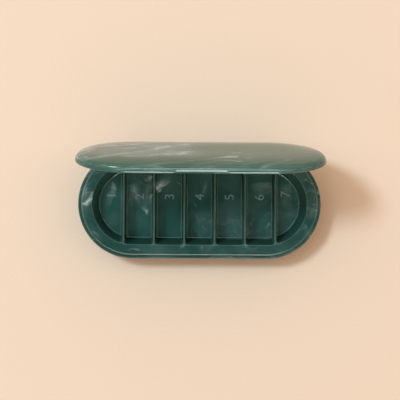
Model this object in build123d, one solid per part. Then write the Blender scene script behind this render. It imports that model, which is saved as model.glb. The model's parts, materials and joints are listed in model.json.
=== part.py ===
from build123d import *
import math
import os

# Weekly pill box, millimetres. +X along the box, +Y to the hinge, +Z up.
# The origin is on the resting plane, under the middle of the box.

# Outline and heights
length = 180.0
depth = 81.0
foot_height = 0.6
base_height = 18.9
closing_gap = 0.12

# Base shell
base_corner = 7.0
base_edge = 0.5
band_width = 1.8
shoulder_width = 1.3
shoulder_depth = 1.2
base_floor = 2.2
base_inner_corner = 4.5

# Compartment tray
tray_clearance = 0.1
flange_thickness = 2.2
ring_edge = 1.5
ring_width = 8.4
well_count = 7
end_well_extra = 0.95
well_lean = 15.6
well_corner = 2.0
well_floor_fillet = 1.8
mouth_edge = 0.5
divider_top = 1.4
divider_draft = 1.0
tray_wall = 1.6
tray_floor = 1.5
tray_floor_gap = 1.2
tray_bottom_corner = 2.6

# Lid
lid_edge = 0.6
lid_side_radius = 4.4
lid_height = 7.5
lid_wall = 1.6
lid_seam_height = 3.0
seam_groove = 0.25
ring_clearance = 0.25
liner_recess = 1.3
liner_thickness = 1.5
tongue_width = 1.0
tongue_height = 0.8
tongue_inset = 1.65
tongue_clearance = 0.1

# Finger notch in the front of the lid's lower band
notch_width = 39.0
notch_slant = 1.7
notch_height = 2.6
notch_depth = 0.75
notch_bow_radius = 6.6
notch_bow_height = 1.5

# Hinge
axis_offset = 1.0
barrel_radius = 1.8
hinge_spacing = 60.0
lid_knuckle = 9.0
base_knuckle = 5.0
knuckle_gap = 0.2
sweep_clearance = 0.2
pin_diameter = 1.4
pin_end_inset = 0.3
pin_running_clearance = 0.05
pin_fixed_clearance = 0.02
gusset_height = 5.0
web_height = 2.6
heel_length = 3.2
heel_thickness = 1.1
heel_gap = 0.06
open_angle_rest = 75.0
open_angle_limit = 105.0

# Magnets that keep the lid shut
magnet_diameter = 6.0
magnet_thickness = 1.0
magnet_clearance = 0.05
magnet_spacing = 76.0
magnet_ring_inset = 6.9

# Thin rubber foot let into the underside of the base
grip_thickness = 1.4
grip_margin = 3.0
grip_clearance = 0.15

# Derived places
end_radius = depth / 2
half_straight = (length - depth) / 2
seam_z = foot_height + base_height
ring_radius = end_radius - band_width - tray_clearance
ring_top = seam_z + flange_thickness - shoulder_depth
shoulder_z = seam_z - shoulder_depth
mouth_radius = ring_radius - ring_width
tray_bottom_z = foot_height + base_floor + tray_floor_gap
well_floor_z = tray_bottom_z + tray_floor
well_depth = ring_top - well_floor_z
well_run = well_depth * math.tan(math.radians(well_lean))
floor_radius = mouth_radius - well_run
well_pitch = 2 * (half_straight + mouth_radius - end_well_extra) / well_count
rim_z = seam_z + closing_gap
axis_y = end_radius + axis_offset
axis_z = seam_z
pin_radius = pin_diameter / 2
sweep_radius = barrel_radius + sweep_clearance
recess_radius = ring_radius + ring_clearance
panel_z = rim_z + liner_recess
panel_top = panel_z + liner_thickness
lid_seam_z = rim_z + lid_seam_height
magnet_y = magnet_ring_inset - end_radius
magnet_bore = magnet_diameter / 2 + magnet_clearance
pocket_depth = magnet_thickness + magnet_clearance
grip_recess_radius = end_radius - base_corner - grip_margin
grip_radius = grip_recess_radius - grip_clearance
hinge_half = lid_knuckle / 2 + knuckle_gap + base_knuckle


def sweep_outline(section):
    # A section drawn in the YZ plane, from the middle line out, carried round the whole outline.
    left_end = revolve(section, axis=Axis.Z, revolution_arc=180)
    right_end = Rot(0, 0, 180) * left_end
    back = extrude(section, amount=half_straight, dir=(1, 0, 0), both=True)
    front = mirror(back, about=Plane.XZ)
    body = Pos(-half_straight, 0, 0) * left_end
    body = body + back
    body = body + front
    body = body + Pos(half_straight, 0, 0) * right_end
    return body.clean()


def section_face(*edges):
    return Plane.YZ * make_face(list(edges))


def corner_arc(center, radius, start, end):
    # An arc about a centre in the section plane, angles in degrees.
    return CenterArc(center, radius, start, end - start)


def outline_prism(radius, bottom, height):
    sketch = SlotCenterToCenter(2 * half_straight, 2 * radius)
    return Pos(0, 0, bottom) * extrude(sketch, amount=height)


def axis_cylinder(radius, center_x, width):
    bar = Cylinder(radius, width, rotation=(0, 90, 0))
    return Pos(center_x, axis_y, axis_z) * bar


def hinge_block(points, center_x, width):
    # A plate across the hinge, outlined in Y and Z relative to the hinge axis.
    outline = Plane.YZ * make_face(Polyline(*points, close=True))
    plate = extrude(outline, amount=width / 2, dir=(1, 0, 0), both=True)
    return Pos(center_x, axis_y, axis_z) * plate


def hinge_centers():
    return (-hinge_spacing / 2, hinge_spacing / 2)


def base_knuckle_centers(center_x):
    shift = lid_knuckle / 2 + knuckle_gap + base_knuckle / 2
    return (center_x - shift, center_x + shift)


def make_base_shell():
    corner_z = foot_height + base_corner
    wall_r = end_radius - band_width
    cavity_r = wall_r - shoulder_width
    floor_z = foot_height + base_floor
    inner_z = floor_z + base_inner_corner
    section = section_face(
        Line((0, foot_height), (end_radius - base_corner, foot_height)),
        corner_arc((end_radius - base_corner, corner_z), base_corner, -90, 0),
        Line((end_radius, corner_z), (end_radius, seam_z - base_edge)),
        corner_arc((end_radius - base_edge, seam_z - base_edge), base_edge, 0, 90),
        Line((end_radius - base_edge, seam_z), (wall_r, seam_z)),
        Line((wall_r, seam_z), (wall_r, shoulder_z)),
        Line((wall_r, shoulder_z), (cavity_r, shoulder_z)),
        Line((cavity_r, shoulder_z), (cavity_r, inner_z)),
        corner_arc((cavity_r - base_inner_corner, inner_z), base_inner_corner, 0, -90),
        Line((cavity_r - base_inner_corner, floor_z), (0, floor_z)),
        Line((0, floor_z), (0, foot_height)),
    )
    shell = sweep_outline(section)
    recess_depth = grip_thickness - foot_height
    shell = shell - outline_prism(grip_recess_radius, foot_height, recess_depth)
    lean = math.radians(50)
    rear = barrel_radius * math.cos(lean)
    low = barrel_radius * math.sin(lean)
    root = -axis_offset - base_edge
    gusset = [
        (root, 0),
        (0, 0),
        (rear, -low),
        (-axis_offset, -gusset_height),
        (root, -gusset_height),
    ]
    for center_x in hinge_centers():
        for knuckle_x in base_knuckle_centers(center_x):
            shell = shell + hinge_block(gusset, knuckle_x, base_knuckle)
            shell = shell + axis_cylinder(barrel_radius, knuckle_x, base_knuckle)
        room = lid_knuckle + 2 * knuckle_gap
        shell = shell - axis_cylinder(sweep_radius, center_x, room)
        bore = pin_radius + pin_fixed_clearance
        shell = shell - axis_cylinder(bore, center_x, 2 * hinge_half)
    return shell


def well_side(divider_x, inward):
    # Half the slab between two dividers: the drafted side at one of them.
    run = well_depth * math.tan(math.radians(divider_draft))
    top_x = divider_x + inward * divider_top / 2
    floor_x = top_x + inward * run
    over = run / well_depth
    return floor_x, top_x - inward * over


def make_well(index):
    overrun = 1.0
    taper = well_run / well_depth
    perimeter = section_face(
        Line((0, well_floor_z), (floor_radius, well_floor_z)),
        Line((floor_radius, well_floor_z), (mouth_radius + overrun * taper, ring_top + overrun)),
        Line((mouth_radius + overrun * taper, ring_top + overrun), (0, ring_top + overrun)),
        Line((0, ring_top + overrun), (0, well_floor_z)),
    )
    pocket = sweep_outline(perimeter)
    left_divider = (index - well_count / 2) * well_pitch
    right_divider = left_divider + well_pitch
    left_floor, left_top = well_side(left_divider, 1)
    right_floor, right_top = well_side(right_divider, -1)
    if index == 0:
        left_floor = -length / 2
        left_top = -length / 2
    if index == well_count - 1:
        right_floor = length / 2
        right_top = length / 2
    outline = Polyline(
        (left_floor, well_floor_z),
        (right_floor, well_floor_z),
        (right_top, ring_top + overrun),
        (left_top, ring_top + overrun),
        close=True,
    )
    slab = extrude(Plane.XZ * make_face(outline), amount=depth / 2, both=True)
    well = pocket & slab
    left_mid = (left_floor + left_top) / 2
    right_mid = (right_floor + right_top) / 2
    corners = []
    for edge in well.edges():
        middle = edge.center()
        near_side = min(abs(middle.X - left_mid), abs(middle.X - right_mid))
        upright = abs(middle.Z - (well_floor_z + ring_top + overrun) / 2) < well_depth / 4
        if upright and near_side < divider_top / 2:
            corners.append(edge)
    well = fillet(corners, well_corner)
    floor_edges = well.edges().group_by(Axis.Z)[0]
    return fillet(floor_edges, well_floor_fillet)


def make_compartment_tray():
    slope = math.tan(math.radians(well_lean))
    wall_run = tray_wall / math.cos(math.radians(well_lean))
    flange_z = ring_top - flange_thickness
    bottom_r = floor_radius - tray_floor * slope + wall_run
    flange_r = mouth_radius - flange_thickness * slope + wall_run
    section = section_face(
        Line((0, tray_bottom_z), (bottom_r, tray_bottom_z)),
        Line((bottom_r, tray_bottom_z), (flange_r, flange_z)),
        Line((flange_r, flange_z), (ring_radius, flange_z)),
        Line((ring_radius, flange_z), (ring_radius, ring_top - ring_edge)),
        corner_arc((ring_radius - ring_edge, ring_top - ring_edge), ring_edge, 0, 90),
        Line((ring_radius - ring_edge, ring_top), (0, ring_top)),
        Line((0, ring_top), (0, tray_bottom_z)),
    )
    tray = sweep_outline(section)
    tray = fillet(tray.edges().group_by(Axis.Z)[0], tray_bottom_corner)
    for index in range(well_count):
        tray = tray - make_well(index)
    top_face = tray.faces().filter_by(Axis.Z).sort_by(Axis.Z)[-1]
    mouths = []
    for wire in top_face.inner_wires():
        mouths.extend(wire.edges())
    tray = fillet(mouths, mouth_edge)
    for center_x in (-magnet_spacing / 2, magnet_spacing / 2):
        pocket = Cylinder(magnet_bore, pocket_depth, align=(Align.CENTER, Align.CENTER, Align.MIN))
        tray = tray - Pos(center_x, magnet_y, flange_z) * pocket
    return tray


def lid_profile():
    # Crown arc centred on the middle line and tangent to the side arc.
    side_r = end_radius - lid_side_radius
    rise = lid_height - lid_edge
    crown = side_r ** 2 + rise ** 2 - lid_side_radius ** 2
    crown = crown / (2 * (rise - lid_side_radius))
    lean = math.degrees(math.asin(side_r / (crown - lid_side_radius)))
    side_center = (side_r, rim_z + lid_edge)
    crown_center = (0, rim_z + lid_height - crown)
    return side_center, crown_center, crown, lean


def side_angle(radius, height):
    # Angle on a side arc of this radius at a height above the rim plane.
    return math.degrees(math.asin((height - lid_edge) / radius))


def make_lid_shell():
    side_center, crown_center, crown, lean = lid_profile()
    inner = lid_side_radius - lid_wall
    low = side_angle(lid_side_radius, lid_seam_height + seam_groove)
    outer_r = side_center[0] + lid_side_radius * math.cos(math.radians(low))
    tongue_r = end_radius - tongue_inset - seam_groove
    tongue_in = tongue_r - tongue_width
    tongue_z = lid_seam_z - tongue_height
    reach = math.degrees(math.acos((tongue_in - side_center[0]) / inner))
    meet_z = side_center[1] + inner * math.sin(math.radians(reach))
    crown_top = crown_center[1] + crown
    section = section_face(
        corner_arc(side_center, lid_side_radius, low, 90 - lean),
        corner_arc(crown_center, crown, 90 - lean, 90),
        Line((0, crown_top), (0, crown_top - lid_wall)),
        corner_arc(crown_center, crown - lid_wall, 90, 90 - lean),
        corner_arc(side_center, inner, 90 - lean, reach),
        Line((tongue_in, meet_z), (tongue_in, tongue_z)),
        Line((tongue_in, tongue_z), (tongue_r, tongue_z)),
        Line((tongue_r, tongue_z), (tongue_r, lid_seam_z)),
        Line((tongue_r, lid_seam_z), (outer_r - seam_groove, lid_seam_z)),
        Line((outer_r - seam_groove, lid_seam_z), (outer_r, lid_seam_z + seam_groove)),
    )
    return sweep_outline(section)


def make_lid_liner():
    side_center, crown_center, crown, lean = lid_profile()
    high = side_angle(lid_side_radius, lid_seam_height - seam_groove)
    outer_r = side_center[0] + lid_side_radius * math.cos(math.radians(high))
    groove_r = end_radius - tongue_inset - seam_groove + tongue_clearance
    groove_in = groove_r - tongue_width - 2 * tongue_clearance
    groove_z = lid_seam_z - tongue_height - tongue_clearance
    section = section_face(
        Line((0, panel_z), (recess_radius, panel_z)),
        Line((recess_radius, panel_z), (recess_radius, rim_z)),
        Line((recess_radius, rim_z), (end_radius - lid_edge, rim_z)),
        corner_arc((end_radius - lid_edge, rim_z + lid_edge), lid_edge, -90, 0),
        corner_arc(side_center, lid_side_radius, 0, high),
        Line((outer_r, lid_seam_z - seam_groove), (outer_r - seam_groove, lid_seam_z)),
        Line((outer_r - seam_groove, lid_seam_z), (groove_r, lid_seam_z)),
        Line((groove_r, lid_seam_z), (groove_r, groove_z)),
        Line((groove_r, groove_z), (groove_in, groove_z)),
        Line((groove_in, groove_z), (groove_in, panel_top)),
        Line((groove_in, panel_top), (0, panel_top)),
        Line((0, panel_top), (0, panel_z)),
    )
    liner = sweep_outline(section)
    liner = liner - make_finger_notch()
    for center_x in (-magnet_spacing / 2, magnet_spacing / 2):
        pocket = Cylinder(magnet_bore, pocket_depth, align=(Align.CENTER, Align.CENTER, Align.MAX))
        liner = liner - Pos(center_x, magnet_y, panel_top) * pocket
    for center_x in hinge_centers():
        liner = liner - axis_cylinder(sweep_radius, center_x, 2 * (hinge_half + knuckle_gap))
        liner = liner + make_lid_knuckle(center_x)
    return liner


def bow_drop(distance):
    # How far the notch's bowed back falls away at this distance from its proudest line.
    return notch_bow_radius - math.sqrt(notch_bow_radius ** 2 - distance ** 2)


def make_finger_notch():
    # A slot under the front of the band for a fingertip. Its back bows outwards a little.
    front = -end_radius
    out = front - lid_edge
    below = rim_z - lid_edge
    top = rim_z + notch_height
    bow_z = rim_z + notch_bow_height
    low_y = front + notch_depth + bow_drop(bow_z - below)
    top_y = front + notch_depth + bow_drop(top - bow_z)
    slot = section_face(
        Line((out, below), (low_y, below)),
        ThreePointArc((low_y, below), (front + notch_depth, bow_z), (top_y, top)),
        Line((top_y, top), (out, top)),
        Line((out, top), (out, below)),
    )
    slot = extrude(slot, amount=notch_width, dir=(1, 0, 0), both=True)
    half = notch_width / 2
    flare = notch_slant / notch_height
    low_half = half + lid_edge * flare
    gate = Polyline(
        (-low_half, below),
        (low_half, below),
        (half - notch_slant, rim_z + notch_height),
        (notch_slant - half, rim_z + notch_height),
        close=True,
    )
    gate = extrude(Plane.XZ * make_face(gate), amount=depth, both=True)
    return slot & gate


def make_lid_knuckle(center_x):
    lean = math.radians(50)
    rear = barrel_radius * math.cos(lean)
    high = barrel_radius * math.sin(lean)
    root = -axis_offset - base_edge
    web = [
        (root, closing_gap),
        (0, closing_gap),
        (rear, high),
        (-axis_offset, web_height + closing_gap),
        (root, web_height + closing_gap),
    ]
    turn = math.radians(open_angle_limit)
    face = axis_offset - heel_gap
    heel = []
    for y, z in ((-face, 0), (heel_thickness, 0), (heel_thickness, -heel_length), (-face, -heel_length)):
        closed_y = y * math.cos(turn) - z * math.sin(turn)
        closed_z = y * math.sin(turn) + z * math.cos(turn)
        heel.append((closed_y, closed_z))
    knuckle = axis_cylinder(barrel_radius, center_x, lid_knuckle)
    knuckle = knuckle + hinge_block(web, center_x, lid_knuckle)
    knuckle = knuckle + hinge_block(heel, center_x, lid_knuckle)
    bore = pin_radius + pin_running_clearance
    return knuckle - axis_cylinder(bore, center_x, lid_knuckle)


def make_pin(center_x):
    return axis_cylinder(pin_radius, center_x, 2 * (hinge_half - pin_end_inset))


def make_magnet(center_x, bottom):
    disc = Cylinder(magnet_diameter / 2, magnet_thickness, align=(Align.CENTER, Align.CENTER, Align.MIN))
    return Pos(center_x, magnet_y, bottom) * disc


def opened(shape):
    # The lid is drawn shut and turned about the hinge to the angle of the rest pose.
    turn = Pos(0, axis_y, axis_z) * Rot(-open_angle_rest, 0, 0) * Pos(0, -axis_y, -axis_z)
    return turn * shape


def main():
    flange_z = ring_top - flange_thickness
    half_magnets = magnet_spacing / 2
    left_hinge, right_hinge = hinge_centers()
    lid_magnet_z = panel_top - pocket_depth
    nodes = {
        "base_shell": make_base_shell(),
        "compartment_tray": make_compartment_tray(),
        "rubber_foot": outline_prism(grip_radius, 0, grip_thickness),
        "hinge_pin_left": make_pin(left_hinge),
        "hinge_pin_right": make_pin(right_hinge),
        "tray_magnet_left": make_magnet(-half_magnets, flange_z),
        "tray_magnet_right": make_magnet(half_magnets, flange_z),
        "lid_shell": opened(make_lid_shell()),
        "lid_liner": opened(make_lid_liner()),
        "lid_magnet_left": opened(make_magnet(-half_magnets, lid_magnet_z)),
        "lid_magnet_right": opened(make_magnet(half_magnets, lid_magnet_z)),
    }
    os.makedirs("parts", exist_ok=True)
    for name, shape in nodes.items():
        export_step(shape, "parts/" + name + ".step")


main()
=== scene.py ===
import json
import math

import bmesh
import bpy
from mathutils import Matrix, Vector
from mathutils.bvhtree import BVHTree


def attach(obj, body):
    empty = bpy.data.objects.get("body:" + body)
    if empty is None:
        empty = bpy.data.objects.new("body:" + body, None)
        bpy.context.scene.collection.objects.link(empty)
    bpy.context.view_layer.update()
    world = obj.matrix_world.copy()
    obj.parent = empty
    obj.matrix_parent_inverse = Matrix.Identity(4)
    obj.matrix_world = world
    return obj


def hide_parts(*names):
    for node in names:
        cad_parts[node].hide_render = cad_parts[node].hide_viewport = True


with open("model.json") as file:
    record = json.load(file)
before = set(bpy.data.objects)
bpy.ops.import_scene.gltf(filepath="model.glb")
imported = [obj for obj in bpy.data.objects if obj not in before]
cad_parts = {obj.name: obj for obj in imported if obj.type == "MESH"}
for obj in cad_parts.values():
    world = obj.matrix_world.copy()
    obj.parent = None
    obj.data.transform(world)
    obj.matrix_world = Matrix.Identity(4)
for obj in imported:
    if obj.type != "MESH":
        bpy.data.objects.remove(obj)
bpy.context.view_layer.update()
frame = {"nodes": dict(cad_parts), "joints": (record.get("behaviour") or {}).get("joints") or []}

nodes = frame["nodes"]
scene = bpy.context.scene
scene.view_settings.view_transform = "Standard"
mm = 0.001
hinge = next(j for j in frame["joints"] if j["name"] == "lid_hinge")
hingePlace = Vector(hinge["pos_m"])
restTurn = math.radians(-hinge["range_deg"][0])   # how far the lid stands open

# sizes that the finishes and the pieces share, in millimetres
box = {
    "length": 180.0, "depth": 81.0, "ringTop": 20.5, "wellPitch": 22.5, "wellFloor": 5.5, "lidRim": 19.62,
}
endRadius = box["depth"] / 2
halfStraight = (box["length"] - box["depth"]) / 2   # the outline is a stadium with round ends
print("frame loaded:", len(nodes), "nodes")

# camera, fitted to the outlines of the lid and the base
view = {
    "place": (-0.02008, -0.00892, 1.2018),
    "turn": (-0.0101, 0.0172, -0.0066),
    "focalPixels": 1595.1,
    "framePixels": 400.0,
    "sensor": 36.0,
    "clip": (0.05, 20.0),
}


def makeCamera(v):
    data = bpy.data.cameras.new("photoCamera")
    camera = bpy.data.objects.new("photoCamera", data)
    scene.collection.objects.link(camera)
    data.sensor_width = v["sensor"]
    data.lens = v["focalPixels"] / v["framePixels"] * v["sensor"]
    data.clip_start, data.clip_end = v["clip"]
    x, y, z = v["turn"]
    toCamera = Matrix.Rotation(z, 4, "Z") @ Matrix.Rotation(y, 4, "Y") @ Matrix.Rotation(x, 4, "X")
    camera.matrix_world = Matrix.Translation(v["place"]) @ toCamera.transposed()
    scene.camera = camera


makeCamera(view)
lidMesh = nodes["lid_shell"].data
lidTop = BVHTree.FromPolygons([v.co for v in lidMesh.vertices], [p.vertices for p in lidMesh.polygons])


def landing(pixel, surface, v):
    # where a pixel of the photograph falls on the box, in millimetres, with the lid shut
    middle = v["framePixels"] / 2
    ray = Vector((pixel[0] - middle, middle - pixel[1], -v["focalPixels"]))
    ray = (scene.camera.matrix_world.to_3x3() @ ray).normalized()
    start = Vector(v["place"])
    if surface == "lid":
        hit = lidTop.ray_cast(start, ray)[0]
        spot = hingePlace + Matrix.Rotation(restTurn, 3, "X") @ (hit - hingePlace)
    else:
        spot = start + ray * ((box[surface] * mm - start.z) / ray.z)
    return spot / mm


print("camera placed")


# node helpers
def feed(tree, socket, value):
    if isinstance(value, bpy.types.NodeSocket):
        tree.links.new(value, socket)
    else:
        socket.default_value = value


def put(tree, kind, inputs=None, **props):
    node = tree.nodes.new(kind)
    for name, value in props.items():
        setattr(node, name, value)
    for name, value in (inputs or {}).items():
        feed(tree, node.inputs[name], value)
    return node


def calc(tree, operation, first, second=0.0):
    return put(tree, "ShaderNodeMath", {0: first, 1: second}, operation=operation).outputs[0]


def times(tree, first, *others):
    for other in others:
        first = calc(tree, "MULTIPLY", first, other)
    return first


def sumUp(tree, first, *others):
    for other in others:
        first = calc(tree, "ADD", first, other)
    return first


def vectors(tree, operation, first, second):
    return put(tree, "ShaderNodeVectorMath", {0: first, 1: second}, operation=operation).outputs[0]


def scaled(tree, vector, factor):
    return put(tree, "ShaderNodeVectorMath", {0: vector, "Scale": factor}, operation="SCALE").outputs[0]


def turned(tree, vector, angle):
    values = {"Vector": vector, "Angle": angle}
    return put(tree, "ShaderNodeVectorRotate", values, rotation_type="Z_AXIS").outputs[0]


def split(tree, vector):
    return put(tree, "ShaderNodeSeparateXYZ", {"Vector": vector}).outputs


def joined(tree, x=0.0, y=0.0, z=0.0):
    return put(tree, "ShaderNodeCombineXYZ", {"X": x, "Y": y, "Z": z}).outputs[0]


def ramp(tree, value, low, high, toLow=0.0, toHigh=1.0):
    spans = {"Value": value, "From Min": low, "From Max": high, "To Min": toLow, "To Max": toHigh}
    return put(tree, "ShaderNodeMapRange", spans, interpolation_type="SMOOTHSTEP").outputs["Result"]


def noise(tree, vector, scale, detail=2.0, roughness=0.5):
    values = {"Vector": vector, "Scale": scale, "Detail": detail, "Roughness": roughness}
    return put(tree, "ShaderNodeTexNoise", values).outputs


def stray(tree, point, scale, detail, reach):
    # the point moved about by up to half this reach
    flow = noise(tree, point, scale, detail)["Color"]
    centred = vectors(tree, "SUBTRACT", flow, (0.5, 0.5, 0.5))
    return vectors(tree, "ADD", scaled(tree, centred, reach), point)


def blend(tree, factor, first, second):
    node = put(tree, "ShaderNodeMix", data_type="RGBA")
    for index, value in ((0, factor), (6, first), (7, second)):   # the sockets that mix colours
        feed(tree, node.inputs[index], value)
    return node.outputs[2]


def opaque(color):
    return (*color, 1)


def addBump(tree, shader, height, strength, depth):
    bump = put(tree, "ShaderNodeBump", {"Height": height, "Strength": strength, "Distance": depth})
    tree.links.new(bump.outputs[0], shader.inputs["Normal"])


def newGroup(name, inputs, outputs):
    tree = bpy.data.node_groups.new(name, "ShaderNodeTree")
    for label, kind, value in inputs:
        socket = tree.interface.new_socket(label, in_out="INPUT", socket_type="NodeSocket" + kind)
        if value is not None:
            socket.default_value = value
    for label, kind in outputs:
        tree.interface.new_socket(label, in_out="OUTPUT", socket_type="NodeSocket" + kind)
    return tree, tree.nodes.new("NodeGroupInput").outputs, tree.nodes.new("NodeGroupOutput").inputs


def useGroup(tree, group, inputs):
    return put(tree, "ShaderNodeGroup", inputs, node_tree=group).outputs


# In the dictionaries of the finishes a noise is its scale, its detail and, where that isn't 0.5,
# its roughness. A span is where a ramp starts and ends, with the values there if they aren't 0 and 1.
# A bump is its strength and its depth in metres.

# one wisp of pale resin: faint at its tail, bright at its head, sharp along one side
wispForm = {
    "cells": (0.9, 4.0),   # strands along and across
    "fibre": (1.0, 3.0, 0.6), "fibreSpan": (0.3, 0.65, 0.3, 1.0),
    "tailSpan": (-1.0, 0.7), "headSpan": (0.72, 1.0, 1.0, 0.0),
    "edgeSpan": (-0.2, 0.08), "fadeSpan": (0.0, 1.0, 1.0, 0.0),
}


def makeWispGroup(w):
    tree, into, out = newGroup("wisp", [
        ("Vector", "Vector", None),
        ("Place", "Vector", (0, 0, 0)),
        ("Turn", "Float", 0.0),
        ("Half Length", "Float", 5.0),
        ("Width", "Float", 2.0),
        ("Bend", "Float", 0.0),
        ("Gain", "Float", 1.0),
    ], [("Mask", "Float")])
    shift = vectors(tree, "SUBTRACT", into["Vector"], into["Place"])
    parts = split(tree, turned(tree, shift, times(tree, into["Turn"], -1.0)))
    along = calc(tree, "DIVIDE", parts["X"], into["Half Length"])
    across = calc(tree, "DIVIDE", parts["Y"], into["Width"])
    across = calc(tree, "ADD", across, times(tree, along, along, into["Bend"]))
    cellsAlong, cellsAcross = w["cells"]
    strands = joined(tree, times(tree, along, cellsAlong), times(tree, across, cellsAcross))
    fibre = noise(tree, strands, *w["fibre"])[0]
    mask = times(
        tree,
        ramp(tree, along, *w["tailSpan"]), ramp(tree, along, *w["headSpan"]),
        ramp(tree, across, *w["edgeSpan"]), ramp(tree, across, *w["fadeSpan"]),
        ramp(tree, fibre, *w["fibreSpan"]), into["Gain"],
    )
    tree.links.new(mask, out["Mask"])
    return tree


# the smoky marbled resin that all the mouldings share, in millimetres
marbleForm = {
    "swirl": (0.03, 1.0), "curl": (0.07, 1.0),
    "cloud": (0.045, 4.0, 0.55), "cloudSpan": (0.42, 0.7),
    "flow": (1.0, 1.0, 0.4), "folds": 3.5,
    "grain": (3.0, 3.0, 0.6), "grainSpan": (0.3, 0.7, 0.35, 1.0),
    "gaps": (0.06, 2.0), "gapSpan": (0.42, 0.62, 0.0, 0.7),
    "veilSpan": (0.0, 0.95, 0.0, 0.3), "lineSpan": (0.7, 0.95), "foldSpan": (0.95, 1.0, 1.0, 0.0),
    "patch": (0.024, 1.0), "patchSpan": (0.47, 0.66),
    "wispSpan": (0.0, 0.4, 0.5, 1.0),
    "smudge": (0.07, 4.0, 0.6), "roughSpan": (0.3, 0.75, 0.1, 0.18),
    "peel": (0.3, 2.0),
}


def makeMarbleGroup(m):
    tree, into, out = newGroup("marbledResin", [
        ("Vector", "Vector", None),
        ("Wisps", "Float", 0.0),
        ("Deep", "Color", (0.009, 0.066, 0.048, 1)),
        ("Cloud", "Color", (0.05, 0.095, 0.082, 1)),
        ("Pale", "Color", (0.46, 0.54, 0.5, 1)),
        ("Cloud Amount", "Float", 0.5),
        ("Streak Amount", "Float", 0.2),
        ("Spread", "Float", 0.0),
        ("Streak Way", "Vector", (0.05, 0.1, 0.1)),
        ("Streak Turn", "Float", 0.0),
        ("Swirl", "Float", 20.0),
        ("Curl", "Float", 7.0),
    ], [("Color", "Color"), ("Roughness", "Float"), ("Height", "Float")])
    point = into["Vector"]
    swirled = stray(tree, point, *m["swirl"], into["Swirl"])
    curled = stray(tree, swirled, *m["curl"], into["Curl"])
    drawn = vectors(tree, "MULTIPLY", turned(tree, curled, into["Streak Turn"]), into["Streak Way"])
    cloud = ramp(tree, noise(tree, swirled, *m["cloud"])[0], *m["cloudSpan"])
    cloudMask = times(tree, cloud, into["Cloud Amount"])
    # smoke that builds up slowly and ends at a sharp fold
    fold = calc(tree, "FRACT", times(tree, noise(tree, drawn, *m["flow"])[0], m["folds"]))
    grain = ramp(tree, noise(tree, drawn, *m["grain"])[0], *m["grainSpan"])
    gaps = ramp(tree, noise(tree, swirled, *m["gaps"])[0], *m["gapSpan"])
    veil = ramp(tree, fold, *m["veilSpan"])
    line = times(tree, ramp(tree, fold, *m["lineSpan"]), gaps)
    smoke = times(tree, calc(tree, "ADD", veil, line), ramp(tree, fold, *m["foldSpan"]), grain)
    patch = ramp(tree, noise(tree, point, *m["patch"])[0], *m["patchSpan"])
    sparse = calc(tree, "MAXIMUM", patch, into["Spread"])
    streakMask = times(tree, smoke, sparse, into["Streak Amount"])
    wispMask = times(tree, into["Wisps"], ramp(tree, smoke, *m["wispSpan"]))
    both = {0: streakMask, 1: wispMask}
    paleMask = put(tree, "ShaderNodeMath", both, operation="ADD", use_clamp=True).outputs[0]
    body = blend(tree, cloudMask, into["Deep"], into["Cloud"])
    tree.links.new(blend(tree, paleMask, body, into["Pale"]), out["Color"])
    smudge = noise(tree, point, *m["smudge"])[0]
    tree.links.new(ramp(tree, smudge, *m["roughSpan"]), out["Roughness"])
    tree.links.new(noise(tree, point, *m["peel"])[0], out["Height"])
    return tree


def outlineRadius(tree, parts):
    # how far out a point lies from the straight middle line of the box
    past = calc(tree, "SUBTRACT", calc(tree, "ABSOLUTE", parts["X"]), halfStraight)
    past = calc(tree, "MAXIMUM", past, 0.0)
    squares = calc(tree, "ADD", times(tree, past, past), times(tree, parts["Y"], parts["Y"]))
    return calc(tree, "SQRT", squares)


# a paler line along an edge that follows the outline at one height: partly wear, partly a painted
# highlight where the edge catches the light
edgeForm = {"uneven": (0.16, 3.0, 0.6), "patchySpan": (0.3, 0.65, 0.45, 1.0)}


def makeEdgeGroup(e):
    tree, into, out = newGroup("edgeWearSheen", [
        ("Vector", "Vector", None),
        ("Radius", "Float", 38.0),
        ("Reach", "Float", 0.5),
        ("Level", "Float", 20.0),
        ("Depth", "Float", 0.5),
        ("Gain", "Float", 0.5),
    ], [("Mask", "Float")])
    parts = split(tree, into["Vector"])
    away = calc(tree, "ABSOLUTE", calc(tree, "SUBTRACT", outlineRadius(tree, parts), into["Radius"]))
    drop = calc(tree, "ABSOLUTE", calc(tree, "SUBTRACT", parts["Z"], into["Level"]))
    near = ramp(tree, away, 0.0, into["Reach"], 1.0, 0.0)
    level = ramp(tree, drop, 0.0, into["Depth"], 1.0, 0.0)
    patchy = ramp(tree, noise(tree, into["Vector"], *e["uneven"])[0], *e["patchySpan"])
    tree.links.new(times(tree, near, level, patchy, into["Gain"]), out["Mask"])
    return tree


wispGroup = makeWispGroup(wispForm)
marbleGroup = makeMarbleGroup(marbleForm)
edgeGroup = makeEdgeGroup(edgeForm)


def newMaterial(name):
    mat = bpy.data.materials.new(name)
    mat.use_nodes = True
    tree = mat.node_tree
    return mat, tree, tree.nodes["Principled BSDF"]


def objectPoint(tree, shutLid=False):
    # object coordinates in millimetres; the lid's are turned back to where they are when it is shut
    point = put(tree, "ShaderNodeTexCoord").outputs["Object"]
    if shutLid:
        turn = Matrix.Rotation(restTurn, 3, "X")
        place = hingePlace - turn @ hingePlace
        values = {"Vector": point, "Location": place, "Rotation": (restTurn, 0, 0)}
        point = put(tree, "ShaderNodeMapping", values).outputs[0]
    return scaled(tree, point, 1 / mm)


def wispMask(tree, point, surface, tail, head, width, bend, gain):
    start = landing(tail, surface, view)
    end = landing(head, surface, view)
    way = end - start
    middle = (start + end) / 2
    return useGroup(tree, wispGroup, {
        "Vector": point, "Place": (middle.x, middle.y, 0), "Turn": math.atan2(way.y, way.x),
        "Half Length": math.hypot(way.x, way.y) / 2, "Width": width, "Bend": bend, "Gain": gain,
    })["Mask"]


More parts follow.
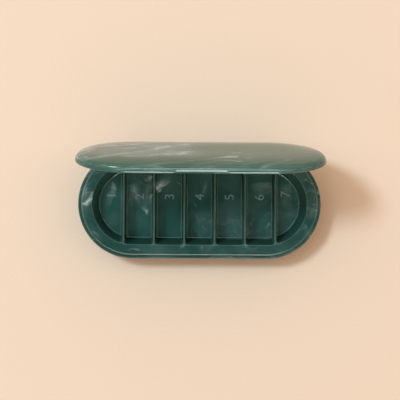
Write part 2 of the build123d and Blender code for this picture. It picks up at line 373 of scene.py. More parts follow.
def wispMasks(tree, point, spec):
    rippled = stray(tree, point, *spec["ripple"])
    rows = [(surface, *row) for surface, wisps in spec["wisps"].items() for row in wisps]
    return sumUp(tree, *[wispMask(tree, rippled, *row) for row in rows])


def edgeMask(tree, point, radius, reach, level, depth, gain):
    return useGroup(tree, edgeGroup, {
        "Vector": point, "Radius": radius, "Reach": reach, "Level": level, "Depth": depth, "Gain": gain,
    })["Mask"]


def dividerWearSheen(tree, parts, d):
    # the tops of the dividers, which stand half a pitch from the middle, painted paler: wear and a
    # painted highlight
    pitch = box["wellPitch"]
    farLeft = pitch * 10   # moves the whole row past zero
    along = calc(tree, "PINGPONG", calc(tree, "ADD", parts["X"], farLeft), pitch / 2)
    near = ramp(tree, calc(tree, "SUBTRACT", pitch / 2, along), *d["across"], 1.0, 0.0)
    high = ramp(tree, parts["Z"], *d["z"])
    inside = ramp(tree, calc(tree, "ABSOLUTE", parts["Y"]), *d["y"], 1.0, 0.0)
    first, last = d["rowEnd"]
    row = ramp(tree, calc(tree, "ABSOLUTE", parts["X"]), pitch * first, pitch * last, 1.0, 0.0)
    return times(tree, near, high, inside, row, d["gain"])


def withWearSheen(tree, spec, point, parts, color):
    # the colour, paler along the edges: wear where hands touch, and a painted highlight along the edges
    wearSheens = [edgeMask(tree, point, *edge) for edge in spec["edges"]]
    if "dividers" in spec:
        wearSheens.append(dividerWearSheen(tree, parts, spec["dividers"]))
    if not wearSheens:
        return color
    wearSheen = sumUp(tree, *wearSheens)
    if "wearSheenSpan" in spec:   # it fades round the ends
        wearSheen = times(tree, wearSheen, ramp(tree, calc(tree, "ABSOLUTE", parts["X"]), *spec["wearSheenSpan"]))
    return blend(tree, wearSheen, color, opaque(spec["wearSheen"]))


def gatherSmoke(tree, spec, point, values):
    # the smoke gathers on one part of the lid
    s = spec["smoke"]
    wander = split(tree, stray(tree, point, *s["wander"]))
    gathered = times(tree, ramp(tree, wander["X"], *s["x"]), ramp(tree, wander["Y"], *s["y"]))
    share = ramp(tree, gathered, 0.0, 1.0, s["elsewhere"], 1.0)
    values["Deep"] = blend(tree, gathered, opaque(spec["deep"]), opaque(s["veil"]))
    values["Streak Amount"] = times(tree, share, spec["streak"])
    values["Cloud Amount"] = times(tree, share, spec["cloud"])


def clearWalls(tree, parts, values, w):
    # the well walls are nearly free of smoke; gives how much duller they are than the floors
    low = ramp(tree, parts["Z"], *w["floorSide"], 1.0, w["keep"])
    high = ramp(tree, parts["Z"], *w["ringSide"], w["keep"], 1.0)
    keep = calc(tree, "MAXIMUM", low, high)
    for label in ("Cloud Amount", "Streak Amount", "Wisps"):
        values[label] = times(tree, keep, values[label])
    return ramp(tree, keep, w["keep"], 1.0, w["dull"], 0.0)


def notchShadeMask(tree, parts, c):
    # painted shade at the ends of the finger notch, where the end walls fall in shade
    lean = times(tree, calc(tree, "SUBTRACT", parts["Z"], box["lidRim"]), c["slant"])
    end = calc(tree, "ADD", calc(tree, "ABSOLUTE", parts["X"]), lean)
    off = calc(tree, "ABSOLUTE", calc(tree, "SUBTRACT", end, c["half"]))
    front = ramp(tree, parts["Y"], *c["front"], 1.0, 0.0)
    return times(tree, ramp(tree, off, 0.0, c["width"], 1.0, 0.0), front)


def marbleValues(tree, spec, point, parts):
    values = {
        "Vector": point, "Deep": opaque(spec["deep"]),
        "Cloud Amount": spec["cloud"], "Streak Amount": spec["streak"], "Streak Way": spec["streakWay"],
        "Streak Turn": math.radians(-spec.get("streakTurn", 0.0)),
        "Spread": spec.get("spread", 0.0), "Swirl": spec["swirl"], "Curl": spec["curl"],
    }
    if "mist" in spec:
        values["Cloud"] = opaque(spec["mist"])
    if "pale" in spec:
        values["Pale"] = opaque(spec["pale"])
    if "paintedTopShade" in spec:   # painted shade: the tops are darker and greyer than the wells, which offsets the key light that reaches the tops and not the shaded wells
        h = spec["paintedTopShade"]
        values["Deep"] = blend(tree, ramp(tree, parts["Z"], *h["z"]), values["Deep"], opaque(h["color"]))
    if "smoke" in spec:
        gatherSmoke(tree, spec, point, values)
    if "wisps" in spec:
        values["Wisps"] = wispMasks(tree, point, spec)
    return values


usualPeel = 0.1       # strength of the faint orange peel
peelDepth = 0.00006   # in metres


def makeMarbled(spec):
    mat, tree, shader = newMaterial(spec["name"])
    point = objectPoint(tree, spec["shutLid"])
    parts = split(tree, point)
    values = marbleValues(tree, spec, point, parts)
    duller = []
    if "plainWalls" in spec:
        duller.append(clearWalls(tree, parts, values, spec["plainWalls"]))
    marble = useGroup(tree, marbleGroup, values)
    color = withWearSheen(tree, spec, point, parts, marble["Color"])
    # painted shade: a dark, duller line along the ends of the finger notch
    if "notchShade" in spec:
        notchShade = notchShadeMask(tree, parts, spec["notchShade"])
        color = blend(tree, notchShade, color, opaque(spec["notchShade"]["dark"]))
        duller.append(times(tree, notchShade, spec["notchShade"]["dull"]))
    if "dullEnds" in spec:   # the ring's outer edge is duller round the ends
        d = spec["dullEnds"]
        ends = ramp(tree, calc(tree, "ABSOLUTE", parts["X"]), *d["x"])
        duller.append(times(tree, edgeMask(tree, point, *d["edge"]), ends))
    if "satinInside" in spec:   # the liner's inner face is satin
        s = spec["satinInside"]
        duller.append(ramp(tree, outlineRadius(tree, parts), *s["radius"], s["satin"], 0.0))
    if "satinBelow" in spec:   # the wells keep the satin of their mould
        s = spec["satinBelow"]
        duller.append(ramp(tree, parts["Z"], *s["z"], s["satin"], 0.0))
    tree.links.new(color, shader.inputs["Base Color"])
    tree.links.new(sumUp(tree, marble["Roughness"], *duller), shader.inputs["Roughness"])
    addBump(tree, shader, marble["Height"], spec.get("peel", usualPeel), peelDepth)
    shader.inputs["IOR"].default_value = spec["ior"]
    return mat


# the marbled finishes, in millimetres
# wisps, by the surface they lie on: tail and head in pixels of the photograph, width, bend, gain
# edges: radius, reach, level, depth, gain
# ripple and wander: scale, detail and reach of the noise that moves the point
trayMarble = {
    "name": "marbledTray", "shutLid": False, "ior": 1.5, "peel": 0.03,
    "deep": (0.0075, 0.056, 0.041), "mist": (0.036, 0.088, 0.075), "cloud": 0.5, "streak": 0.085,
    "streakWay": (0.05, 0.11, 0.11), "swirl": 26.0, "curl": 14.0,
    # the tops get a darker, greyer colour by height: painted shade
    "paintedTopShade": {"z": (19.0, 20.2), "color": (0.0105, 0.0445, 0.0355)},
    "satinBelow": {"z": (19.0, 20.2), "satin": 0.06},
    "plainWalls": {"floorSide": (6.0, 8.0), "ringSide": (19.3, 20.2), "keep": 0.1, "dull": 0.4},
    "dullEnds": {"edge": (38.1, 1.5, 20.1, 1.5, 0.6), "x": (49.0, 58.0)},
    # the paler edges are partly wear and partly painted highlight
    "wearSheen": (0.12, 0.22, 0.185), "edges": [(37.9, 0.6, 20.35, 0.5, 0.14), (30.35, 0.5, 20.4, 0.4, 0.3)],
    "dividers": {   # rowEnd in pitches
        "across": (0.45, 0.75), "z": (19.9, 20.4), "y": (30.0, 30.8), "rowEnd": (2.6, 2.7), "gain": 0.15,
    },
    "ripple": (0.14, 3.0, 5.0),
    "wisps": {
        "ringTop": [
            ((94.6, 189.6), (82.4, 204.7), 5.2, 0.0, 1.50),
            ((120.0, 251.5), (141.0, 249.5), 2.2, 0.1, 0.30),
            ((106.0, 241.5), (92.0, 231.0), 2.8, 0.1, 0.20),
            ((178.0, 250.0), (185.5, 245.0), 1.8, 0.3, 0.45),
            ((203.0, 251.0), (201.0, 246.0), 1.8, 0.2, 0.40),
            ((252.0, 247.5), (244.0, 243.7), 2.0, 0.1, 0.40),
            ((297.0, 177.2), (314.0, 185.3), 1.2, 0.3, 0.60),
            ((310.0, 214.6), (320.0, 209.0), 1.4, 0.4, 0.40),
            ((296.5, 231.6), (307.6, 226.5), 2.2, 0.2, 0.25),
            ((80.7, 233.0), (80.7, 184.4), -9.0, -0.4, 0.20),
            ((318.2, 172.3), (318.2, 221.0), -9.0, -0.4, 0.17),
        ],
        "wellFloor": [
            ((117.0, 191.0), (112.5, 180.5), 3.0, 0.1, 0.45),
            ((148.0, 183.0), (151.5, 175.5), 3.0, 0.3, 0.90),
            ((144.0, 177.0), (147.0, 182.0), 2.2, 0.4, 0.50),
            ((140.0, 206.0), (148.5, 213.5), 4.0, 0.4, 0.65),
            ((150.1, 202.3), (152.9, 193.7), 3.0, 0.2, 0.90),
            ((173.0, 178.0), (157.0, 193.0), -7.5, 0.0, 1.20),
            ((174.0, 181.5), (181.0, 185.5), 1.4, 0.1, 0.30),
            ((206.0, 177.0), (203.4, 194.5), 3.2, 0.2, 0.40),
            ((189.0, 198.0), (197.0, 207.0), 1.6, 0.2, 0.25),
            ((265.0, 230.5), (270.0, 221.5), 2.2, 0.2, 0.55),
            ((244.0, 185.0), (273.0, 184.0), -10.0, 0.0, 0.40),
            ((108.0, 214.0), (116.0, 182.0), 9.0, 0.0, 0.32),
            ((131.0, 214.0), (131.0, 182.0), -9.0, 0.0, 0.42),
            ((150.0, 219.7), (150.0, 182.4), 8.0, 0.0, 0.30),
            ((290.0, 221.0), (290.0, 181.0), 10.0, 0.0, 0.22),
            ((294.0, 205.4), (300.0, 203.0), 1.0, 0.2, 0.35),
        ],
    },
}
lidMarble = {
    "name": "marbledLid", "shutLid": True, "ior": 1.55,
    "deep": (0.005, 0.076, 0.058), "mist": (0.115, 0.175, 0.175), "pale": (0.45, 0.56, 0.58),
    "cloud": 0.4, "streak": 1.3, "spread": 0.6, "streakWay": (0.007, 0.07, 0.07), "streakTurn": 20.0,
    "swirl": 10.0, "curl": 2.5,
    "smoke": {
        "wander": (0.03, 2.0, 24.0), "x": (-22.0, 12.0, 1.0, 0.0), "y": (-27.0, -14.0),
        "veil": (0.034, 0.1, 0.094), "elsewhere": 0.15,
    },
    # the pale line along the seam is mostly a painted highlight, fading round the ends
    "wearSheen": (0.42, 0.5, 0.46), "wearSheenSpan": (46.0, 60.0, 1.0, 0.15),
    "edges": [(39.75, 0.5, 22.85, 0.35, 0.9)],
    "ripple": (0.09, 3.0, 7.0),
    "wisps": {
        "lid": [
            ((150.0, 149.2), (173.0, 147.0), 8.0, 0.0, 0.80),
            ((96.0, 149.5), (119.0, 146.2), 6.0, 0.1, 0.60),
            ((112.0, 150.7), (140.0, 148.2), 6.0, 0.1, 0.60),
            ((84.0, 154.8), (97.0, 149.9), 7.0, 0.1, 0.50),
            ((97.0, 156.4), (110.0, 155.0), 4.0, 0.1, 0.50),
            ((118.0, 147.2), (142.0, 145.2), 6.0, 0.1, 0.50),
            ((174.0, 146.5), (192.0, 145.0), 6.0, 0.1, 0.70),
            ((180.0, 149.8), (191.0, 147.4), 5.0, 0.2, 0.40),
            ((138.0, 151.0), (161.0, 149.4), 6.0, 0.1, 0.60),
            ((163.0, 151.8), (174.5, 152.2), 5.0, 0.1, 0.50),
            ((122.0, 155.6), (84.0, 162.0), 3.5, 0.2, 0.60),
            ((96.0, 147.4), (119.0, 145.3), 7.0, 0.1, 0.40),
            ((118.0, 152.6), (136.0, 150.6), 6.0, 0.1, 0.40),
            ((167.0, 155.2), (187.5, 154.0), 4.0, 0.1, 0.40),
            ((184.0, 162.0), (192.5, 162.4), 3.0, 0.0, 0.35),
            ((224.0, 156.0), (241.5, 152.2), 4.0, 0.3, 0.80),
            ((209.0, 160.0), (240.5, 158.0), 6.0, 0.1, 1.00),
            ((205.0, 161.6), (246.0, 162.8), 3.0, 0.1, 0.60),
            ((271.0, 153.4), (283.0, 147.4), 2.5, 0.3, 0.25),
            ((290.0, 163.0), (262.0, 167.5), 2.5, 0.2, 0.30),
        ],
    },
}
shellMarble = {
    "name": "marbledShell", "shutLid": False, "ior": 1.5,
    "deep": (0.013, 0.047, 0.036), "cloud": 0.5, "streak": 0.3,
    "streakWay": (0.03, 0.1, 0.16), "swirl": 16.0, "curl": 8.0,
    "wearSheen": (0.13, 0.2, 0.175), "edges": [(40.3, 0.5, 19.4, 0.5, 0.35)],
}
linerMarble = {
    "name": "marbledLiner", "shutLid": True, "ior": 1.5,
    "deep": (0.009, 0.066, 0.048), "cloud": 0.5, "streak": 0.3,
    "streakWay": (0.03, 0.1, 0.16), "swirl": 16.0, "curl": 8.0,
    "wearSheen": (0.13, 0.2, 0.175), "edges": [(40.3, 0.5, 19.8, 0.5, 0.5), (39.75, 0.5, 22.6, 0.35, 0.5)],
    # painted shade along the ends of the finger notch
    "notchShade": {
        "half": 19.5, "slant": 0.65, "width": 0.7, "front": (-38.0, -37.0),
        "dark": (0.003, 0.012, 0.009), "dull": 0.5,
    },
    "satinInside": {"radius": (38.2, 38.8), "satin": 0.55},
}
# the numbers are painted paler than the tray: a painted highlight standing in for the glints on the
# raised letters
numberMarble = {
    "name": "numbersPaintedPale", "shutLid": False, "ior": 1.5,
    "deep": (0.14, 0.2, 0.18), "cloud": 0.2, "streak": 0.3,
    "streakWay": (0.05, 0.11, 0.11), "swirl": 26.0, "curl": 9.0, "edges": [],
}
marbledTray = makeMarbled(trayMarble)
marbledLid = makeMarbled(lidMarble)
marbledShell = makeMarbled(shellMarble)
marbledLiner = makeMarbled(linerMarble)
numbersPaintedPale = makeMarbled(numberMarble)

# pins and magnets: each has its own stretch of the grain
pinMetal = {"name": "pinSteel", "color": (0.6, 0.6, 0.62), "rough": 0.28, "stretch": (0.4, 12.0, 12.0)}
magnetMetal = {
    "name": "magnetPlating", "color": (0.7, 0.7, 0.72), "rough": 0.14, "stretch": (3.0, 3.0, 3.0),
}
metalForm = {
    "lines": (1.0, 4.0, 0.6), "span": (0.3, 0.7), "shade": 0.82, "roughShares": (0.7, 1.4),
    "bump": (0.2, 0.00002),
}


def makeMetal(spec, m):
    mat, tree, shader = newMaterial(spec["name"])
    drawn = vectors(tree, "MULTIPLY", objectPoint(tree), spec["stretch"])
    lines = noise(tree, drawn, *m["lines"])[0]
    shade = opaque([c * m["shade"] for c in spec["color"]])
    tint = blend(tree, ramp(tree, lines, *m["span"]), shade, opaque(spec["color"]))
    roughs = [spec["rough"] * share for share in m["roughShares"]]
    tree.links.new(tint, shader.inputs["Base Color"])
    tree.links.new(ramp(tree, lines, *m["span"], *roughs), shader.inputs["Roughness"])
    addBump(tree, shader, lines, *m["bump"])
    shader.inputs["Metallic"].default_value = 1.0
    return mat


rubber = {
    "name": "footRubber", "color": (0.018, 0.03, 0.027), "dusty": (0.05, 0.06, 0.055),
    "speck": (2.5, 4.0, 0.65), "roughSpan": (0.3, 0.7, 0.65, 0.85),
    "scuff": (0.06, 5.0, 0.6), "scuffSpan": (0.45, 0.75), "bump": (0.35, 0.0001),
}


def makeRubber(spec):
    mat, tree, shader = newMaterial(spec["name"])
    point = objectPoint(tree)
    speck = noise(tree, point, *spec["speck"])[0]
    scuff = ramp(tree, noise(tree, point, *spec["scuff"])[0], *spec["scuffSpan"])
    tint = blend(tree, scuff, opaque(spec["color"]), opaque(spec["dusty"]))
    tree.links.new(tint, shader.inputs["Base Color"])
    tree.links.new(ramp(tree, speck, *spec["roughSpan"]), shader.inputs["Roughness"])
    addBump(tree, shader, speck, *spec["bump"])
    return mat


pinSteel = makeMetal(pinMetal, metalForm)
magnetPlating = makeMetal(magnetMetal, metalForm)
footRubber = makeRubber(rubber)
nodeFinish = {
    "base_shell": marbledShell,
    "compartment_tray": marbledTray,
    "lid_shell": marbledLid,
    "lid_liner": marbledLiner,
    "hinge_pin_left": pinSteel,
    "hinge_pin_right": pinSteel,
    "tray_magnet_left": magnetPlating,
    "tray_magnet_right": magnetPlating,
    "lid_magnet_left": magnetPlating,
    "lid_magnet_right": magnetPlating,
    "rubber_foot": footRubber,
}
for name, mat in nodeFinish.items():
    nodes[name].data.materials.clear()
    nodes[name].data.materials.append(mat)
print("finishes:", len(bpy.data.materials), "materials")


# Geometry Nodes
def newTree(name, inputs):
    tree = bpy.data.node_groups.new(name, "GeometryNodeTree")
    for label, kind in inputs:
        tree.interface.new_socket(label, in_out="INPUT", socket_type="NodeSocket" + kind)
    tree.interface.new_socket("Geometry", in_out="OUTPUT", socket_type="NodeSocketGeometry")
    return tree, tree.nodes.new("NodeGroupInput").outputs, tree.nodes.new("NodeGroupOutput").inputs


def shape(tree, kind, inputs, **props):
    return put(tree, "GeometryNode" + kind, inputs, **props).outputs[0]


def herePoint(tree):
    return split(tree, put(tree, "GeometryNodeInputPosition").outputs[0])


def endTree(tree, geometry, finish, out):
    plain = shape(tree, "RealizeInstances", {"Geometry": geometry})
    ready = shape(tree, "SetMaterial", {"Geometry": plain, "Material": finish})
    tree.links.new(ready, out["Geometry"])


# a section carried round the outline
seamMerge = 1e-6   # metres


def makeSweepTree():
    tree, into, out = newTree("outlineSweep", [
        ("Section", "Geometry"), ("Half Straight", "Float"), ("Path Radius", "Float"), ("Steps", "Int"),
        ("Sharp Angle", "Float"), ("Finish", "Material"),
    ])
    ring = {"Resolution": into["Steps"], "Radius": into["Path Radius"]}
    circle = shape(tree, "CurvePrimitiveCircle", ring)
    spin = joined(tree, z=calc(tree, "DIVIDE", math.pi, into["Steps"]))
    spun = shape(tree, "Transform", {"Geometry": circle, "Rotation": spin})
    push = times(tree, calc(tree, "SIGN", herePoint(tree)["X"]), into["Half Straight"])
    outline = shape(tree, "SetPosition", {"Geometry": spun, "Offset": joined(tree, x=push)})
    upright = shape(tree, "SetCurveNormal", {"Curve": outline}, mode="Z_UP")
    section = shape(tree, "MeshToCurve", {"Mesh": into["Section"]})
    swept = shape(tree, "CurveToMesh", {"Curve": upright, "Profile Curve": section})
    closed = shape(tree, "MergeByDistance", {"Geometry": swept, "Distance": seamMerge})
    smooth = shape(tree, "SetShadeSmooth", {"Geometry": closed}, domain="FACE")
    bend = put(tree, "GeometryNodeInputMeshEdgeAngle").outputs["Unsigned Angle"]
    limits = {"A": bend, "B": into["Sharp Angle"]}
    sharp = put(tree, "FunctionNodeCompare", limits, operation="GREATER_THAN").outputs[0]
    edges = {"Geometry": smooth, "Selection": sharp, "Shade Smooth": False}
    crisp = shape(tree, "SetShadeSmooth", edges, domain="EDGE")
    endTree(tree, crisp, into["Finish"], out)
    return tree


# a row of bars, each as long as the outline allows where it stands
def makeRibTree():
    tree, into, out = newTree("ribRows", [
        ("Geometry", "Geometry"), ("Count", "Int"), ("Pitch", "Float"), ("Width", "Float"),
        ("Height", "Float"), ("Level", "Float"), ("Half Straight", "Float"), ("Field Radius", "Float"),
        ("Finish", "Material"),
    ])
    gaps = calc(tree, "SUBTRACT", into["Count"], 1.0)
    start = joined(tree, times(tree, gaps, into["Pitch"], -0.5), z=into["Level"])
    step = joined(tree, into["Pitch"])
    row = shape(tree, "MeshLine", {"Count": into["Count"], "Start Location": start, "Offset": step})
    past = calc(tree, "SUBTRACT", calc(tree, "ABSOLUTE", herePoint(tree)["X"]), into["Half Straight"])
    past = calc(tree, "MAXIMUM", past, 0.0)
    radius = into["Field Radius"]
    room = calc(tree, "SUBTRACT", times(tree, radius, radius), times(tree, past, past))
    reach = times(tree, calc(tree, "SQRT", calc(tree, "MAXIMUM", room, 0.0)), 2.0)
    bar = shape(tree, "MeshCube", {"Size": joined(tree, into["Width"], 1.0, into["Height"])})
    scale = joined(tree, 1.0, reach, 1.0)
    rows = shape(tree, "InstanceOnPoints", {"Points": row, "Instance": bar, "Scale": scale})
    endTree(tree, rows, into["Finish"], out)
    return tree


def runNodes(name, mesh, tree, values):
    # evaluate a tree on a mesh and keep the result as a plain mesh at the origin
    carrier = bpy.data.objects.new(name + "Carrier", mesh)
    scene.collection.objects.link(carrier)
    modifier = carrier.modifiers.new("nodes", "NODES")
    modifier.node_group = tree
    for item in tree.interface.items_tree:
        if item.item_type == "SOCKET" and item.in_out == "INPUT" and item.name in values:
            modifier[item.identifier] = values[item.name]
    carrier.update_tag()
    bpy.context.view_layer.update()
    ready = carrier.evaluated_get(bpy.context.evaluated_depsgraph_get())
    made = bpy.data.meshes.new_from_object(ready)
    carrier.modifiers.clear()
    bpy.data.objects.remove(carrier)
    made.name = name
    return made


def addPiece(name, mesh, body, replaced=None):
    piece = bpy.data.objects.new(name, mesh)
    scene.collection.objects.link(piece)
    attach(piece, body)
    if replaced:
        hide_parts(replaced)
    print(name + ":", len(mesh.polygons), "faces")


def sectionMesh(name, points, pathRadius):
    # a closed outline of radius and height; Curve to Mesh lays X outwards and Y downwards
    mesh = bpy.data.meshes.new(name)
    spots = [((r - pathRadius) * mm, -z * mm, 0) for r, z in reversed(points)]
    mesh.from_pydata(spots, [(i, (i + 1) % len(spots)) for i in range(len(spots))], [])
    return mesh


def sweepSection(name, points, pathRadius, steps, sharpAngle, finish):
    section = sectionMesh(name + "Section", points, pathRadius)
    return runNodes(name, section, sweepTree, {
        "Half Straight": halfStraight * mm, "Path Radius": pathRadius * mm, "Steps": steps,
        "Sharp Angle": sharpAngle, "Finish": finish,
    })


def arc(center, radius, start, end, steps):
    angles = [math.radians(start + (end - start) * i / steps) for i in range(steps + 1)]
    return [(center[0] + radius * math.cos(a), center[1] + radius * math.sin(a)) for a in angles]


sweepTree = makeSweepTree()
ribTree = makeRibTree()

# the crowned lid, drawn shut in millimetres and turned to the rest pose
dome = {
    "edge": 0.6, "sideRadius": 5.1, "height": 7.8, "crownPower": 4.0, "wall": 1.6,
    "seamHeight": 3.0, "groove": 0.25, "tongueInset": 1.65, "tongueWidth": 1.0, "tongueHeight": 0.8,
    "steps": 192, "crownSteps": 26, "sideSteps": 14, "innerSteps": 10, "sharpAngle": 0.5,
}


def crownLine(d, inset):
    # from the shoulder to the middle: nearly flat, then bending down into the side arc
    sideX = endRadius - d["sideRadius"]
    radius = d["sideRadius"] - inset
    rise = d["height"] - d["edge"] - inset
    halvings = 40
    low, high = 0.0, 1.0
    for _ in range(halvings):
        lean = (low + high) / 2
        reach = sideX + radius * math.sin(lean)
        drop = math.tan(lean) * reach / d["crownPower"]
        if drop + radius * math.cos(lean) < rise:
            low = lean
        else:
            high = lean
    top = box["lidRim"] + d["height"] - inset
    shares = [1 - i / d["crownSteps"] for i in range(d["crownSteps"] + 1)]
    return math.degrees(lean), [(reach * t, top - drop * t ** d["crownPower"]) for t in shares]


def domeSection(d):
    sideX = endRadius - d["sideRadius"]
    sideAt = (sideX, box["lidRim"] + d["edge"])
    inner = d["sideRadius"] - d["wall"]
    low = math.degrees(math.asin((d["seamHeight"] + d["groove"] - d["edge"]) / d["sideRadius"]))
    seamZ = box["lidRim"] + d["seamHeight"]
    tongueOut = endRadius - d["tongueInset"] - d["groove"]
    tongueIn = tongueOut - d["tongueWidth"]
    tongueZ = seamZ - d["tongueHeight"]
    reach = math.degrees(math.acos((tongueIn - sideX) / inner))
    lean, crown = crownLine(d, 0.0)
    underLean, underCrown = crownLine(d, d["wall"])
    outer = arc(sideAt, d["sideRadius"], low, 90 - lean, d["sideSteps"]) + crown[1:]
    under = underCrown[::-1] + arc(sideAt, inner, 90 - underLean, reach, d["innerSteps"])[1:]
    tongue = [(tongueIn, tongueZ), (tongueOut, tongueZ), (tongueOut, seamZ)]
    return outer + under + tongue + [(outer[0][0] - d["groove"], seamZ)]


def makeDome(d):
    mesh = sweepSection("lidDome", domeSection(d), endRadius, d["steps"], d["sharpAngle"], marbledLid)
    opened = Matrix.Rotation(-restTurn, 4, "X")
    mesh.transform(Matrix.Translation(hingePlace) @ opened @ Matrix.Translation(-hingePlace))
    addPiece("lidDome", mesh, "lid", "lid_shell")


makeDome(dome)

# raised numbers on the well floors, read from the front edge upwards
numbers = {
    "height": 7.0, "fontHeight": 0.7, "thick": 0.4, "sunk": 0.06, "turn": 90.0,
    "bevel": 0.12, "bevelSteps": 2, "merge": 1e-7,   # merge in metres
    "first": (-66.0, 6.0), "last": (64.5, 8.0),
    "between": (-2, -1, 0, 1, 2), "row": 5.4,   # between in pitches
}


def makeNumber(n, label, x, y):
    text = bpy.data.curves.new("number", "FONT")
    text.body = label
    text.size = n["height"] / n["fontHeight"] * mm
    text.extrude = ((n["thick"] + n["sunk"]) / 2 - n["bevel"]) * mm
    text.bevel_depth = n["bevel"] * mm
    text.bevel_resolution = n["bevelSteps"]
    text.offset = -n["bevel"] * mm
    carrier = bpy.data.objects.new("number", text)
    scene.collection.objects.link(carrier)
    bpy.context.view_layer.update()
    mesh = bpy.data.meshes.new_from_object(carrier.evaluated_get(bpy.context.evaluated_depsgraph_get()))
    bpy.data.objects.remove(carrier)
    spots = [v.co for v in mesh.vertices]
    low = Vector([min(s[i] for s in spots) for i in range(3)])
    high = Vector([max(s[i] for s in spots) for i in range(3)])
    middle = Vector(((low.x + high.x) / 2, (low.y + high.y) / 2, low.z))
    place = Vector((x, y, box["wellFloor"] - n["sunk"])) * mm
    turn = Matrix.Rotation(math.radians(n["turn"]), 4, "Z")
    mesh.transform(Matrix.Translation(place) @ turn @ Matrix.Translation(-middle))
    return mesh


def makeNumbers(n):
    places = [n["first"], *[(i * box["wellPitch"], n["row"]) for i in n["between"]], n["last"]]
    gathered = bmesh.new()
    for index, (x, y) in enumerate(places):
        gathered.from_mesh(makeNumber(n, str(index + 1), x, y))
    bmesh.ops.remove_doubles(gathered, verts=gathered.verts, dist=n["merge"])
    bmesh.ops.recalc_face_normals(gathered, faces=gathered.faces)
    made = bpy.data.meshes.new("dayNumbers")
    gathered.to_mesh(made)
    gathered.free()
    made.materials.append(numbersPaintedPale)
    addPiece("dayNumbers", made, "base")


makeNumbers(numbers)

# the thin rubber foot: a rim round a ribbed field
foot = {
    "radius": 30.35, "top": 1.4, "edge": 0.3, "rim": 3.0, "field": 0.4,
    "steps": 128, "edgeSteps": 5, "sharpAngle": 0.6,
    "ribCount": 45, "ribPitch": 3.4, "ribWidth": 1.5,
}


def makeFoot(f):
    inside = f["radius"] - f["rim"]
    section = [(0, f["field"]), (inside, f["field"]), (inside, f["edge"])]
    section += arc((inside + f["edge"], f["edge"]), f["edge"], 180, 270, f["edgeSteps"])[1:]
    section += arc((f["radius"] - f["edge"], f["edge"]), f["edge"], 270, 360, f["edgeSteps"])
    section += [(f["radius"], f["top"]), (0, f["top"])]
    slab = sweepSection("rubberFoot", section, f["radius"], f["steps"], f["sharpAngle"], footRubber)
    addPiece("rubberFoot", slab, "base", "rubber_foot")
    ribs = runNodes("footRibs", bpy.data.meshes.new("footRibsSeed"), ribTree, {
        "Count": f["ribCount"], "Pitch": f["ribPitch"] * mm, "Width": f["ribWidth"] * mm,
        "Height": f["field"] * mm, "Level": f["field"] / 2 * mm, "Half Straight": halfStraight * mm,
        "Field Radius": inside * mm, "Finish": footRubber,
    })
    addPiece("footRibs", ribs, "base")


makeFoot(foot)

# stage: a pale floor, a soft key, a warm room, a soft fill for the wells, and strips that only gleam
paperFloor = {
    "half": 3.0, "color": (0.838, 0.672, 0.515), "shade": (0.815, 0.650, 0.495),
    "grain": (0.8, 4.0, 0.6), "grainSpan": (0.35, 0.65), "bump": (0.15, 0.0001),
    "rough": 0.85, "specular": 0.2,
}


def makeFloor(f):
    half = f["half"]
    mesh = bpy.data.meshes.new("floor")
    corners = [(-half, -half, 0), (half, -half, 0), (half, half, 0), (-half, half, 0)]
    mesh.from_pydata(corners, [], [(0, 1, 2, 3)])
    floor = bpy.data.objects.new("floor", mesh)
    scene.collection.objects.link(floor)
    mat, tree, shader = newMaterial("paperFloor")
    grain = noise(tree, objectPoint(tree), *f["grain"])[0]
    tint = blend(tree, ramp(tree, grain, *f["grainSpan"]), opaque(f["shade"]), opaque(f["color"]))
    tree.links.new(tint, shader.inputs["Base Color"])
    addBump(tree, shader, grain, *f["bump"])
    shader.inputs["Roughness"].default_value = f["rough"]
    shader.inputs["Specular IOR Level"].default_value = f["specular"]
    mesh.materials.append(mat)
    return floor


def makeLamp(name, form, power, color, place, size, sizeY=0.0):
    data = bpy.data.lights.new(name, "AREA")
    data.shape = form
    data.energy = power
    data.color = color
    data.size = size
    data.size_y = sizeY
    lamp = bpy.data.objects.new(name, data)
    scene.collection.objects.link(lamp)
    back = Vector(place).normalized()   # a lamp shines along its own -Z
    side = Vector((1, 0, -back.x / back.z)).normalized()
    turn = Matrix((side, back.cross(side), back)).transposed().to_4x4()
    lamp.matrix_world = Matrix.Translation(place) @ turn
    lamp.visible_camera = False
    return lamp


# key lamps: name, power in watts, angle across in degrees, whether it only gleams
keyLight = {
    "from": (-0.61, 0.33, 1.0), "distance": 5.0, "color": (0.605, 0.825, 1.0),
    "lamps": [
        ("keyLamp", 142.0, 11.0, False),
        ("keyHalo", 62.0, 50.0, False),
        ("keyGleam", 52.0, 11.0, True),
    ],
}


def makeKey(k):
    place = Vector(k["from"]).normalized() * k["distance"]
    for name, power, angle, gleam in k["lamps"]:
        size = 2 * k["distance"] * math.tan(math.radians(angle / 2))
        lamp = makeLamp(name, "DISK", power, k["color"], place, size)
        lamp.visible_glossy = gleam
        lamp.visible_diffuse = not gleam


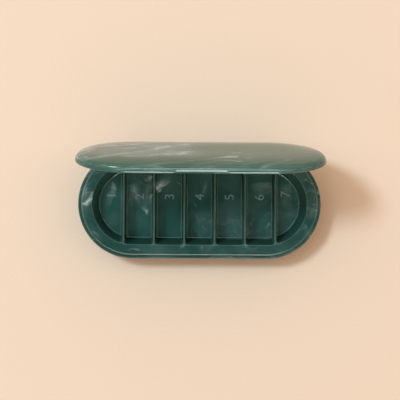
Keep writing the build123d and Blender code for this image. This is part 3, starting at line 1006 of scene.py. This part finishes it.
# box lamps: name, aim x and y at a height of one, width x and y, power in watts, colour, what it lights;
# the diffuse one lights all pieces without a gleam, and the others only gleam
boxLamps = {
    "distance": 1.35, "lidPieces": ("lidDome", "lid_liner"),
    "lamps": [
        ("wellFill", 0.0, -0.45, 1.0, 0.6, 9.0, (0.95, 1.0, 0.98), "diffuse"),
        ("frontStrip", 0.0, -0.53, 0.8, 0.42, 12.5, (1.0, 1.0, 1.0), "base"),
        ("lidStrip", 0.0, -0.364, 0.8, 0.62, 15.0, (1.0, 1.0, 1.0), "lid"),
        ("cornerGleam", -0.79, 1.24, 0.3, 0.18, 3.6, (1.0, 1.0, 1.0), "lid"),
        ("backGlow", 0.0, 4.5, 2.4, 0.5, 2.5, (1.0, 0.7, 0.48), "lid"),
        ("backStrip", 0.0, 0.44, 1.3, 0.5, 8.5, (0.92, 1.0, 0.97), "glossy"),
        ("leftStrip", -0.50, 0.0, 0.35, 1.0, 1.0, (1.0, 1.0, 1.0), "glossy"),
        ("rightStrip", 0.50, 0.0, 0.35, 1.0, 0.6, (1.0, 1.0, 1.0), "glossy"),
    ],
}


def makeBoxLamps(b, floor):
    pieces = [obj for obj in scene.collection.all_objects if obj.type == "MESH" and obj != floor]
    lid = [obj for obj in pieces if obj.name in b["lidPieces"]]
    lit = {"glossy": pieces, "lid": lid, "base": [obj for obj in pieces if obj not in lid]}
    for kind, members in lit.items():
        lit[kind] = bpy.data.collections.new(kind + "Lit")
        for obj in members:
            lit[kind].objects.link(obj)
    for name, x, y, sizeX, sizeY, power, color, kind in b["lamps"]:
        place = Vector((x, y, 1.0)).normalized() * b["distance"]
        lamp = makeLamp(name, "RECTANGLE", power, color, place, sizeX, sizeY)
        lamp.visible_diffuse = kind == "diffuse"
        lamp.visible_glossy = kind != "diffuse"
        lamp.light_linking.receiver_collection = lit.get(kind, lit["glossy"])


# the room is dark overhead and dimmer at the front
warmRoom = {
    "color": (1.07, 0.80, 0.61), "zenith": (0.06, 0.06, 0.06), "zenithSpan": (0.80, 0.985),
    "frontSpan": (-0.8, 0.3, 0.6, 1.0),
}


def makeRoom(r):
    world = bpy.data.worlds.new("room")
    scene.world = world
    world.use_nodes = True
    tree = world.node_tree
    into = tree.nodes["Background"].inputs
    aim = split(tree, put(tree, "ShaderNodeTexCoord").outputs["Generated"])
    high = ramp(tree, aim["Z"], *r["zenithSpan"])
    tree.links.new(blend(tree, high, opaque(r["color"]), opaque(r["zenith"])), into["Color"])
    tree.links.new(ramp(tree, aim["Y"], *r["frontSpan"]), into["Strength"])


floor = makeFloor(paperFloor)
makeKey(keyLight)
makeBoxLamps(boxLamps, floor)
makeRoom(warmRoom)
print("stage: floor, room,", len(keyLight["lamps"]) + len(boxLamps["lamps"]), "lamps")
